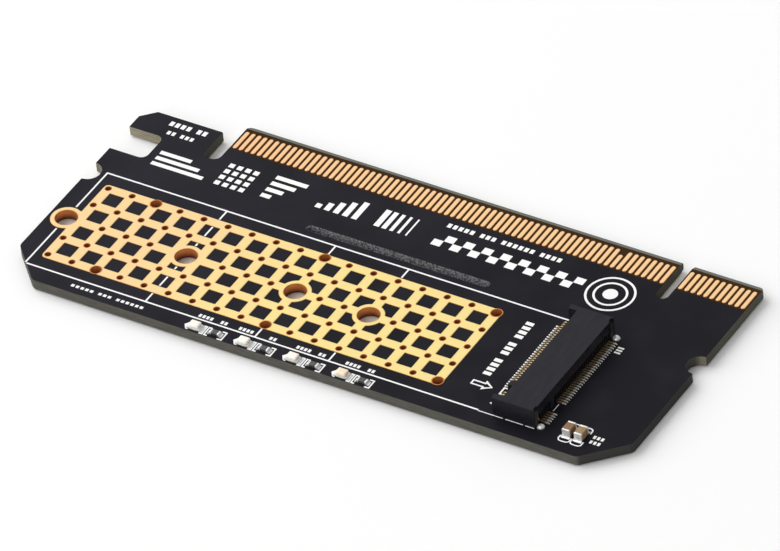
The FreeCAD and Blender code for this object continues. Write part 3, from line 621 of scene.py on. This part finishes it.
def printPiece(name, shapes):
    # each shape is a list of loops: an outline and what is cut from it
    low, high = boardTop - inkShape["sink"], boardTop + inkShape["thickness"]
    solids = [cutSheet([loop + (gridLeft, gridLow) for loop in shape], low, high) for shape in shapes]
    makePiece(name, *joined(solids), whiteInk, None)


outlineShape = dict(line=0.26, left=-2.0, top=18.95, right=73.9, bottom=-2.88, bottomRight=72.2,
                    cornerStart=-1.75, leftEnd=-2.75, ringGap=0.25, tickGap=0.12,
                    tickColumns=(18.0, 36.0, 48.0),
                    windowTicks=((0.92, 3.08), (4.92, 5.5), (10.5, 11.08), (12.92, 15.08)),
                    footLine=0.15, footDrop=0.14, footRuns=((72.25, 76.2), (76.6, 79.4), (79.8, 81.2)))


def driveOutline():
    # the place of the drive: a frame broken at the ring, with a tick at each length of drive
    shape = outlineShape
    width, left, top, bottom = shape["line"], shape["left"], shape["top"], shape["bottom"]
    ringY = driveLine - gridLow
    gap = gridShape["ring"] + shape["ringGap"]
    runs = [((left, shape["leftEnd"]), (left, ringY - gap)),
            ((left, ringY + gap), (left, top + width / 2)),
            ((left + width / 2, top), (shape["right"], top)),
            ((shape["cornerStart"], bottom), (shape["bottomRight"], bottom))]
    low = -gridShape["strip"] / 2 - shape["tickGap"]
    high = gridShape["rows"] * gridShape["pitch"] - low
    for x in shape["tickColumns"]:
        runs += [((x, high), (x, top - width / 2)), ((x, bottom + width / 2), (x, low))]
    x = shape["tickColumns"][0]
    runs += [((x, y0), (x, y1)) for y0, y1 in shape["windowTicks"]]
    foot = bottom - shape["footDrop"]
    feet = [[band(((x0, foot), (x1, foot)), shape["footLine"])] for x0, x1 in shape["footRuns"]]
    printPiece("drive_outline_print", [[band(run, width)] for run in runs] + feet)


def dashes(start, step, count, length, width):
    # short strokes one after another from the start, each along the step
    start, step = np.array(start, float), np.array(step, float)
    reach = step / np.linalg.norm(step) * length
    return [[band((start + i * step, start + i * step + reach), width)] for i in range(count)]


def blockLine(start, step, groups, block, gap, between=0.8):
    # plain blocks in a row, each one step less its gap, and part of a step more between groups
    place, step = np.array(start, float), np.array(step, float)
    shapes = []
    for count in groups:
        shapes += dashes(place, step, count, np.linalg.norm(step) - gap, block)
        place = place + (count + between) * step
    return shapes


def bars(start, step, widths, heights):
    # blocks of their own sizes, one step after another
    (x, y), (across, up) = start, step
    return [[roundedBox(x + i * across, y + i * up, x + i * across + width, y + i * up + height)]
            for i, (width, height) in enumerate(zip(widths, heights))]


def target(x, y, radii, width, disc):
    # rings about a disc
    rings = [[circle(x, y, radius + width / 2, 40), circle(x, y, radius - width / 2, 40)] for radius in radii]
    return rings + [[circle(x, y, disc)]]


# plain fields in the places of the card's print: bars, blocks and scales that say nothing
plainMarks = [
    (blockLine, dict(start=(0.2, 32.3), step=(0.95, 0), groups=(4, 2), block=0.95, gap=0.3)),
    (blockLine, dict(start=(0.9, 30.4), step=(0.8, 0), groups=(2, 3), block=0.75, gap=0.28)),
    (bars, dict(start=(2.4, 23.3), step=(0, 1.25), widths=(8.6, 7.2, 5.2), heights=(0.72,) * 3)),
    *[(bars, dict(start=(x, 23.4), step=(0, 1.35), widths=(0.85,) * 4, heights=(0.85,) * 4))
      for x in (12.9, 14.25, 15.6, 16.95)],
    (bars, dict(start=(20.4, 23.8), step=(0, 1.4), widths=(1.6, 2.8, 4.0, 5.2), heights=(0.8,) * 4)),
    (bars, dict(start=(28.7, 25.1), step=(1.5, 0), widths=(0.9,) * 5, heights=(0.9, 1.65, 2.4, 3.15, 3.9))),
    (bars, dict(start=(38.4, 25.1), step=(1.3, 0), widths=(0.9, 0.74, 0.58, 0.42, 0.26),
                heights=(3.8,) * 5)),
    *[(bars, dict(start=start, step=(3.0, 0), widths=(1.5,) * 8, heights=(1.3,) * 8))
      for start in ((47.8, 25.0), (49.3, 26.3))],
    (blockLine, dict(start=(48.0, 29.6), step=(0.92, 0), groups=(5, 3, 6, 4), block=0.85, gap=0.3)),
    (target, dict(x=76.3, y=26.3, radii=(3.5, 2.35), width=0.34, disc=1.1)),
    (blockLine, dict(start=(69.4, 4.0), step=(0, 1.0), groups=(4, 3, 4), block=1.25, gap=0.34)),
    (dashes, dict(start=(83.5, 15.6), step=(0, 0.55), count=3, length=0.3, width=0.95)),
    *[(dashes, dict(start=(89.5, y), step=(0.62, 0), count=3, length=0.4, width=0.62))
      for y in (-2.1, -1.05)],
    (blockLine, dict(start=(6.6, -4.25), step=(0.78, 0), groups=(5, 3, 6), block=0.5, gap=0.28))]

# tail, neck and tip along x, half the shaft and half the head, and the shares of the line's width
# by which the inner loop draws in
arrowShape = dict(sizes=(68.3, 70.2, 71.7, 0.5, 1.0), shares=(1, 1, -1.4, -1, -2.2), y=1.95, line=0.24)


def insertArrow():
    # an outlined arrow that points the way a drive goes in
    y = arrowShape["y"]
    loops = []
    for line in (0.0, arrowShape["line"]):
        tail, neck, tip, shaft, head = np.array(arrowShape["sizes"]) + line * np.array(arrowShape["shares"])
        loops.append(np.array([(tail, y - shaft), (neck, y - shaft), (neck, y - head), (tip, y),
                               (neck, y + head), (neck, y + shaft), (tail, y + shaft)]))
    printPiece("insert_arrow_print", [loops])


lampRow = dict(first=27.35, pitch=8.0, count=4, resistor=3.3, y=-4.65)
partMarks = dict(line=0.24, half=0.8, tip=1.75, base=1.15, lampSide=1.52, resistorSide=1.42, foot=0.5,
                 longFoot=0.7, labelY=-2.15, labelStep=(0.62, 0), label=0.42, labelHeight=0.62,
                 lampLabel=(0.9, 2.3, 0.9, 0.9), resistorLabel=0.6, lean=1.7)


def smallPartMarks():
    # brackets and dashes round the parts, an arrow's point at the end the lamps' current leaves
    shape = partMarks
    width, y = shape["line"], lampRow["y"]
    lean = shape["lean"] * width
    low, high = y - shape["half"], y + shape["half"]
    shapes = []
    for index in range(lampRow["count"]):
        x = lampRow["first"] + index * lampRow["pitch"]
        tip, base = x - shape["tip"], x - shape["base"]
        shapes.append([np.array([(tip, y), (base, high), (base + lean, high), (tip + lean, y),
                                 (base + lean, low), (base, low)])])
        shapes += bracket(x + shape["lampSide"], low, high, -1, shape["foot"], width)
        middle = x + lampRow["resistor"]
        shapes += bracket(middle - shape["resistorSide"], low, high, 1, shape["foot"], width)
        shapes += bracket(middle + shape["resistorSide"], low, high, -1, shape["longFoot"], width)
        for start, count in ((x - shape["lampLabel"][index], 4), (middle - shape["resistorLabel"], 2)):
            shapes += dashes((start, shape["labelY"]), shape["labelStep"], count, shape["label"],
                             shape["labelHeight"])
    printPiece("small_part_marks_print", shapes)


capacitorRow = dict(first=86.05, pitch=1.9, y=-1.65, count=2)
cupShape = dict(line=0.2, half=0.86, front=(0.95, 2.0), rear=(0.9, 1.95), corner=0.65)


def capacitorMarks():
    # a round-cornered cup before each capacitor and another behind it
    shape = cupShape
    y, half = capacitorRow["y"], shape["half"]
    shapes = []
    for index in range(capacitorRow["count"]):
        x = capacitorRow["first"] + index * capacitorRow["pitch"]
        for side, (near, far) in ((-1, shape["front"]), (1, shape["rear"])):
            cup = [(x - half, y + side * near), (x - half, y + side * far), (x + half, y + side * far),
                   (x + half, y + side * near)]
            shapes.append([band(softened(cup, shape["corner"], 8), shape["line"])])
    printPiece("capacitor_marks_print", shapes)


socketMarkShape = dict(bracket=(73.15, 1.3, 2.65), depth=0.5, width=0.25,
                       gapLine=((81.72, 1.3), (81.72, 2.85)), gapWidth=0.12)


def socketMarks():
    # a bracket at the first pins, and a thin upright line where the rear row leaves its gap
    shape = socketMarkShape
    shapes = bracket(*shape["bracket"], 1, shape["depth"], shape["width"])
    printPiece("socket_marks_print", shapes + [[band(shape["gapLine"], shape["gapWidth"])]])


driveOutline()
printPiece("plain_fields_print", [shape for draw, sizes in plainMarks for shape in draw(**sizes)])
insertArrow()
smallPartMarks()
capacitorMarks()
socketMarks()
print("stage: print")


# socket: x runs from the end of a seated drive, z from the board
socketShape = dict(bevel=0.09, pinWidth=0.22, sheet=0.15, pitch=0.5, first=9.25, outer=29, upperInner=5,
                   lowerInner=4, gap=4, rise=1.45, touch=2.25, bend=0.3)


def socketHousing():
    # the CAD moulding with its flat faces joined and every hard edge eased
    work = bmesh.new()
    work.from_mesh(frame["nodes"]["socket_housing"].data)
    bmesh.ops.remove_doubles(work, verts=work.verts, dist=1e-7)
    bmesh.ops.dissolve_limit(work, angle_limit=math.radians(1), verts=work.verts, edges=work.edges)
    sharp = [e for e in work.edges if len(e.link_faces) == 2 and e.calc_face_angle() > math.radians(30)]
    bmesh.ops.bevel(work, geom=sharp, offset=socketShape["bevel"] * mm, segments=2, profile=0.5,
                    affect="EDGES", clamp_overlap=True)
    mesh = bpy.data.meshes.new("housing_shell")
    work.to_mesh(mesh)
    work.free()
    mesh.materials.append(socketPlastic)
    piece = addObject("housing_shell", mesh)
    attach(piece, "root")
    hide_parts("socket_housing")


def pinPlaces(offset, inner):
    # y of each pin in a row: the long run, then the short one past the key
    shape = socketShape
    order = np.concatenate([np.arange(shape["outer"]), shape["outer"] + shape["gap"] + np.arange(inner)])
    return driveLine + shape["first"] - offset - order * shape["pitch"]


# the lower row stands half a pitch aside
halfPitch = socketShape["pitch"] / 2
upperPlaces = pinPlaces(0, socketShape["upperInner"])
lowerPlaces = pinPlaces(halfPitch, socketShape["lowerInner"])


def socketPins():
    shape = socketShape
    half, rise, touch = shape["sheet"] / 2, shape["rise"], shape["touch"]
    lower = [(-4.7, half), (0.6, half), (-3.0, rise - 0.12), (-3.45, rise - half), (-3.7, rise - 0.3)]
    upper = [(-1.35, touch + 0.16), (-1.1, touch + half), (2.6, 2.62), (2.825, 2.4), (2.825, half),
             (4.55, half)]
    for name, path, places in (("lower", lower, lowerPlaces), ("upper", upper, upperPlaces)):
        line = softened(path, shape["bend"]) + (driveStop, boardTop)
        makePiece(name + "_pin_row", *alongRow(bentStrip(line, shape["pinWidth"], shape["sheet"]), places),
                  pinGold, "pins", ["socket_%s_pins" % name])


webShape = dict(width=0.13, rear=((2.72, 0.3), (3.3, 1.65)), front=((-3.6, 0.2), (-2.0, 1.15)), edge=0.02,
                lip=((-4.35, 0.16), (-3.3, 0.42)), lipEdge=0.04, lipRuns=((0, 28), (29, 32)))


def webBlock(corners, y0, y1, edge, steps):
    # a rounded block between two corners in x and z and two places in y
    (x0, z0), (x1, z1) = corners
    return softBlock((driveStop + x0, y0, boardTop + z0), (driveStop + x1, y1, boardTop + z1), edge, steps)


def socketWebs():
    # thin walls of the moulding between the rear tails, and between the lower pins with a lip below
    shape = webShape
    half = shape["width"] / 2
    rearPlaces = np.append(upperPlaces + halfPitch, upperPlaces[socketShape["outer"] - 1] - halfPitch)
    frontPlaces = lowerPlaces + halfPitch
    solids = [alongRow(webBlock(shape["rear"], -half, half, shape["edge"], 1), rearPlaces),
              alongRow(webBlock(shape["front"], -half, half, shape["edge"], 1), frontPlaces)]
    for first, last in shape["lipRuns"]:
        solids.append(webBlock(shape["lip"], frontPlaces[last] - 2 * halfPitch, frontPlaces[first],
                               shape["lipEdge"], 2))
    mergeDoubles(makePiece("socket_webs", *joined(solids), socketPlastic, "housing"))


def solderHeap(centre, size):
    # a heap of solder: half an ellipsoid, its height times (1 - r^2) to the power 0.6 over a disc
    radius = np.linspace(0, 1, 7)[1:] ** 0.7
    rim = circle(0, 0, 1, 16)
    x, y = size[0] * np.outer(radius, rim[:, 0]), size[1] * np.outer(radius, rim[:, 1])
    z = size[2] * np.outer(np.clip(1 - radius ** 2, 0, 1) ** 0.6, np.ones(len(rim)))
    grid = np.stack([x, y, z], axis=-1)
    points = np.vstack([[(0, 0, size[2])], grid.reshape(-1, 3), [(0, 0, 0)]]) + centre
    columns, last = len(rim), len(points) - 1
    faces = ringQuads(len(radius), columns, first=1).tolist()
    for i in range(columns):
        after = (i + 1) % columns
        faces += [(0, 1 + i, 1 + after), (last, last - columns + after, last - columns + i)]
    return points, faces


heapShape = dict(toes=(-4.82, 4.22), sizes=((0.26, 0.16, 0.24), (0.5, 0.14, 0.2)), anchorShift=0.25,
                 anchorSize=(0.62, 0.6, 0.5), sink=0.01)


def socketSolder():
    # a bright heap on each toe, and a larger one round the foot of each hold-down
    shape = heapShape
    foot = boardTop - shape["sink"]
    heaps = [alongRow(solderHeap((0, 0, foot), size), places, driveStop + toe)
             for size, places, toe in zip(shape["sizes"], (lowerPlaces, upperPlaces), shape["toes"])]
    for anchor in ("socket_anchor_rear", "socket_anchor_front"):
        low, high = nodeBox(anchor)
        middle = ((low[0] + high[0]) / 2 + shape["anchorShift"], (low[1] + high[1]) / 2, foot)
        heaps.append(solderHeap(middle, shape["anchorSize"]))
    makePiece("socket_solder", *joined(heaps), satinSolder, "solder", smooth=True)


socketHousing()
socketPins()
socketWebs()
socketSolder()
print("stage: socket")


# lamps, resistors and capacitors: how far each kind of block is rounded, and the solder's reach
chipShape = dict(base=0.03, lens=0.2, resistor=0.03, capacitor=0.05, smallEnd=0.06, capacitorEnd=0.1,
                 reach=0.35, spread=0.04)


def chipBlock(name, original, material, slot, edge):
    # the CAD blocks of a node again, with their edges rounded
    spots = nodeSpots(original)
    low, high = spots.min(0), spots.max(0)
    blocks = [spots]
    if original.endswith("_terminals"):
        axis = int(np.argmax((high - low)[:2]))
        middle = (low[axis] + high[axis]) / 2
        blocks = [spots[spots[:, axis] < middle], spots[spots[:, axis] > middle]]
    solids = [softBlock(mine.min(0), mine.max(0), edge) for mine in blocks]
    mergeDoubles(makePiece(name, *joined(solids), material, slot, [original], smooth=True))


def solderCurve(name, original, steps=6):
    # a hollow fillet: its surface is a quarter of an ellipse from the metal end down to the board
    low, high = nodeBox(original)
    axis = int(np.argmax((high - low)[:2]))
    across = 1 - axis
    reach, rise = chipShape["reach"], high[2] - low[2]
    turn = np.linspace(0, math.pi / 2, steps)
    profile = np.c_[reach * (1 - np.sin(turn)), rise * (1 - np.cos(turn))]
    solids = []
    for side, edge in ((-1, low[axis] + reach), (1, high[axis] - reach)):
        rows = []
        for y in (low[across] - chipShape["spread"], high[across] + chipShape["spread"]):
            row = np.zeros((steps + 1, 3))
            row[:steps, axis] = edge + side * profile[:, 0]
            row[:steps, 2] = boardTop + profile[:, 1]
            row[steps, axis], row[steps, 2] = edge, boardTop
            row[:, across] = y
            rows.append(row)
        count = steps + 1
        faces = [(i, (i + 1) % count, count + (i + 1) % count, count + i) for i in range(count)]
        faces += [tuple(range(count))[::-1], tuple(range(count, 2 * count))]
        solids.append((np.vstack(rows), faces))
    mergeDoubles(makePiece(name, *joined(solids), satinSolder, "solder", [original]))


def smallParts():
    shape = chipShape
    for index in range(1, lampRow["count"] + 1):
        lamp, resistor = "lamp_%d_" % index, "resistor_%d_" % index
        resin = amberResin if index == lampRow["count"] else milkyResin
        chipBlock(lamp + "base_block", lamp + "base", whiteBase, "lamp_base", shape["base"])
        chipBlock(lamp + "ends", lamp + "terminals", brightTin, "tin", shape["smallEnd"])
        chipBlock(lamp + "dome", lamp + "lens", resin, "lamp_lens", shape["lens"])
        solderCurve(lamp + "fillets", lamp + "solder")
        chipBlock(resistor + "block", resistor + "body", darkGlaze, "resistor", shape["resistor"])
        chipBlock(resistor + "ends", resistor + "terminals", brightTin, "tin", shape["smallEnd"])
        solderCurve(resistor + "fillets", resistor + "solder")
    for index, ceramic in enumerate((brownCeramic, tanCeramic), 1):
        part = "capacitor_%d_" % index
        chipBlock(part + "block", part + "body", ceramic, "capacitor", shape["capacitor"])
        chipBlock(part + "ends", part + "terminals", brightTin, "tin", shape["capacitorEnd"])
        solderCurve(part + "fillets", part + "solder")


smallParts()
print("stage: lamps, resistors and capacitors")


# camera, lights and floor
cameraShape = dict(place=(618.776, -953.551, 942.153), aim=(-37.225, -19.328, 0.0), roll=-6.3497,
                   lens=489.09, sensor=36.0)


def photoCamera():
    # looks from its place at the aim, then turns about its own axis by the roll
    shape = cameraShape
    data = bpy.data.cameras.new("photoCamera")
    data.lens = shape["lens"]
    data.sensor_width = shape["sensor"]
    data.clip_start = 0.1
    data.clip_end = 20.0
    place, aim = Vector(shape["place"]) * mm, Vector(shape["aim"]) * mm
    look = (aim - place).to_track_quat("-Z", "Y").to_matrix().to_4x4()
    roll = Matrix.Rotation(math.radians(shape["roll"]), 4, "Z")
    camera = addObject("photoCamera", data)
    camera.matrix_world = Matrix.Translation(place) @ look @ roll
    bpy.context.scene.camera = camera


# places and sizes in metres, power in watts; all lights aim at the middle of the card
lightShape = [dict(name="left", place=(-1.65, -0.15, 1.35), size=(2.4, 2.4), power=44.0),
              dict(name="behind", place=(-1.1, 1.55, 1.6), size=(2.6, 2.0), power=9.5),
              dict(name="front", place=(0.1, -1.7, 1.0), size=(1.4, 1.0), power=9.0)]
roomShape = dict(middle=(-0.038, -0.021, 0.0), strength=0.47, floorGrey=0.9, floorReach=4.0, floorDrop=0.25)


def studio():
    for shape in lightShape:
        data = bpy.data.lights.new(shape["name"], "AREA")
        data.shape = "RECTANGLE"
        data.size, data.size_y = shape["size"]
        data.energy = shape["power"]
        light = addObject(shape["name"], data)
        light.location = shape["place"]
        away = Vector(roomShape["middle"]) - light.location
        light.rotation_euler = away.to_track_quat("-Z", "Y").to_euler()
    world = bpy.data.worlds.new("paleRoom")
    world.use_nodes = True
    background = world.node_tree.nodes["Background"]
    background.inputs["Color"].default_value = (1, 1, 1, 1)
    background.inputs["Strength"].default_value = roomShape["strength"]
    bpy.context.scene.world = world


def paleFloor():
    # matt pale paper below the card catches its shadow
    grey, reach = roomShape["floorGrey"], roomShape["floorReach"]
    level = (boardUnder - roomShape["floorDrop"]) * mm
    paper = {"Roughness": 0.9, "Base Color": (grey, grey, grey, 1.0)}
    material = finishMaterial(startMaterial("paleFloorPaper")[0], paper)
    mesh = bpy.data.meshes.new("floor")
    mesh.from_pydata([(-reach, -reach, level), (reach, -reach, level), (reach, reach, level),
                      (-reach, reach, level)], [], [(0, 1, 2, 3)])
    mesh.materials.append(material)
    floor = addObject("floor", mesh)


photoCamera()
studio()
paleFloor()

# CAD nodes that stay, with the real finishes, and the hold-downs' tin painted dark as shade
nodeLooks = dict(circuit_board=boardFilm, socket_anchor_rear=shadePaintedTin, socket_anchor_front=shadePaintedTin)
for name, material in nodeLooks.items():
    materials = frame["nodes"][name].data.materials
    materials.clear()
    materials.append(material)
print("stage: finishes")

bpy.context.scene.view_settings.view_transform = "Standard"
